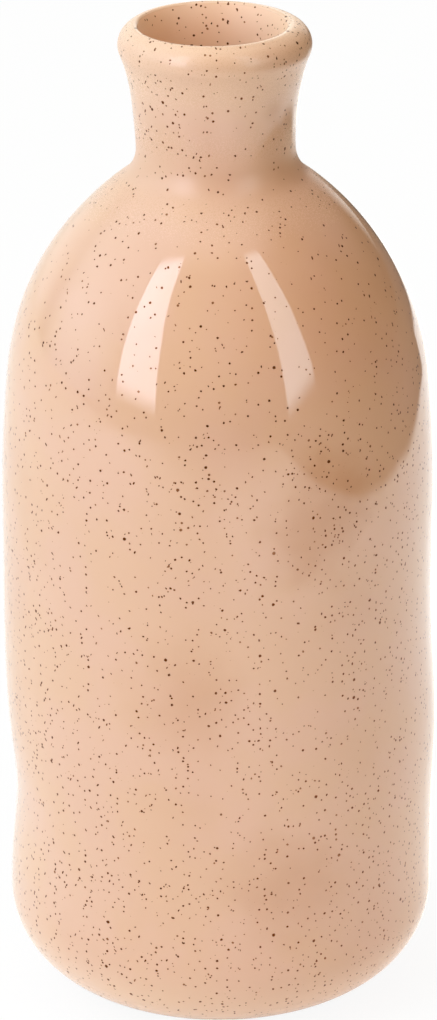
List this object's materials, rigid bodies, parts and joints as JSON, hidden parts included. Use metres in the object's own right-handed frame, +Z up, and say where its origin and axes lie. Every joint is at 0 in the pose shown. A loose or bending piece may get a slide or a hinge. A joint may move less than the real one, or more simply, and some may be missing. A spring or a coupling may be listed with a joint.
{
  "type": "bottle vase",
  "caption": "Round bottle vase with a straight body, domed shoulder, short flared neck and rolled lip, to hold cut stems in water.",
  "frame": {"origin": "centre of the foot, on the surface the vase stands on", "axes": "+Z up along the axis that the pot is turned about; X and Y are level and alike"},
  "size_m": [0.08, 0.08, 0.1871],
  "materials": {
    "fired_clay": "bare fired stoneware, sanded on the foot",
    "speckled_glaze": "glossy peach glaze with iron specks",
    "liner_glaze": "glossy peach liner glaze with iron specks",
    "base_glaze": "glossy peach glaze, pooled in the recess"
  },
  "bodies": {
    "root": {"clay_body": "fired_clay", "outer_glaze": "speckled_glaze", "inner_glaze": "liner_glaze", "base_glaze": "base_glaze"}
  },
  "joints": []
}
